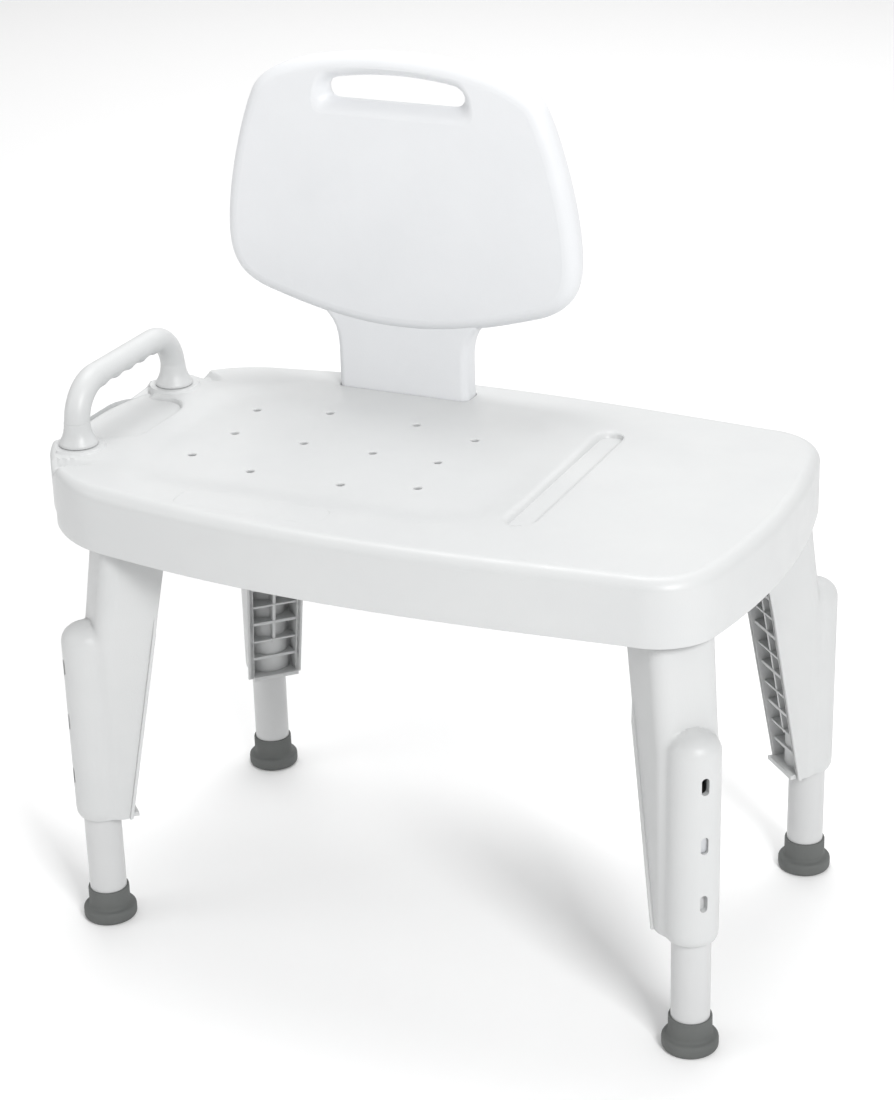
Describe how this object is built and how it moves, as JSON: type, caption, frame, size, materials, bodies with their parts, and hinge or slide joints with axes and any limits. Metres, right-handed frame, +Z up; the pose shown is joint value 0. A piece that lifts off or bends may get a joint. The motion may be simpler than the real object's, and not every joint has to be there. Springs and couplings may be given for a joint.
{
  "type": "bath transfer bench",
  "caption": "Moulded bath transfer bench: long seat, lift-out backrest with a hand slot, grab handle, soap tray and height-adjustable legs.",
  "frame": {"origin": "middle of the bench's box, on the floor under the feet", "axes": "+X along the seat away from the grab handle, +Y from the front edge to the backrest, +Z up"},
  "size_m": [0.6972, 0.4014, 0.768],
  "materials": {
    "seat_plastic": "white moulded polypropylene with a fine satin grain",
    "backrest_plastic": "white moulded polyethylene, satin",
    "tube_plastic": "white coated tube, satin",
    "grey_rubber": "mid-grey moulded rubber, matt",
    "steel": "plain zinc-plated steel"
  },
  "bodies": {
    "bench": {"seat": "seat_plastic", "front_socket_cover": "seat_plastic", "grab_handle": "seat_plastic", "handle_washer_front": "steel", "handle_screw_front": "steel", "handle_washer_back": "steel", "handle_screw_back": "steel", "leg_front_right": "seat_plastic", "leg_screw_front_right": "steel", "leg_front_left": "seat_plastic", "leg_screw_front_left": "steel", "leg_back_right": "seat_plastic", "leg_screw_back_right": "steel", "leg_back_left": "seat_plastic", "leg_screw_back_left": "steel"},
    "foot_front_right": {"leg_tube_front_right": "tube_plastic", "rubber_tip_front_right": "grey_rubber"},
    "clip_front_right": {"snap_clip_front_right": "steel"},
    "foot_front_left": {"leg_tube_front_left": "tube_plastic", "rubber_tip_front_left": "grey_rubber"},
    "clip_front_left": {"snap_clip_front_left": "steel"},
    "foot_back_right": {"leg_tube_back_right": "tube_plastic", "rubber_tip_back_right": "grey_rubber"},
    "clip_back_right": {"snap_clip_back_right": "steel"},
    "foot_back_left": {"leg_tube_back_left": "tube_plastic", "rubber_tip_back_left": "grey_rubber"},
    "clip_back_left": {"snap_clip_back_left": "steel"},
    "backrest": {"backrest": "backrest_plastic"}
  },
  "joints": [
    {"name": "leg_height_front_right", "type": "slide", "parent": "bench", "child": "foot_front_right", "axis": [0, 0, 1], "range_m": [-0.0555, 0.0555], "deforming": ["snap_clip_front_right"]},
    {"name": "button_press_front_right", "type": "slide", "parent": "foot_front_right", "child": "clip_front_right", "axis": [-0.7071, 0.7071, 0], "range_m": [0, 0.0036], "stiffness_N_per_m": 1200, "springref_m": -0.002},
    {"name": "leg_height_front_left", "type": "slide", "parent": "bench", "child": "foot_front_left", "axis": [0, 0, 1], "range_m": [-0.0555, 0.0555], "deforming": ["snap_clip_front_left"]},
    {"name": "button_press_front_left", "type": "slide", "parent": "foot_front_left", "child": "clip_front_left", "axis": [0.7071, 0.7071, 0], "range_m": [0, 0.0036], "stiffness_N_per_m": 1200, "springref_m": -0.002},
    {"name": "leg_height_back_right", "type": "slide", "parent": "bench", "child": "foot_back_right", "axis": [0, 0, 1], "range_m": [-0.0555, 0.0555], "deforming": ["snap_clip_back_right"]},
    {"name": "button_press_back_right", "type": "slide", "parent": "foot_back_right", "child": "clip_back_right", "axis": [-0.7071, -0.7071, 0], "range_m": [0, 0.0036], "stiffness_N_per_m": 1200, "springref_m": -0.002},
    {"name": "leg_height_back_left", "type": "slide", "parent": "bench", "child": "foot_back_left", "axis": [0, 0, 1], "range_m": [-0.0555, 0.0555], "deforming": ["snap_clip_back_left"]},
    {"name": "button_press_back_left", "type": "slide", "parent": "foot_back_left", "child": "clip_back_left", "axis": [0.7071, -0.7071, 0], "range_m": [0, 0.0036], "stiffness_N_per_m": 1200, "springref_m": -0.002},
    {"name": "backrest_lift", "type": "slide", "parent": "bench", "child": "backrest", "axis": [0, 0, 1], "range_m": [0, 0.075]}
  ]
}
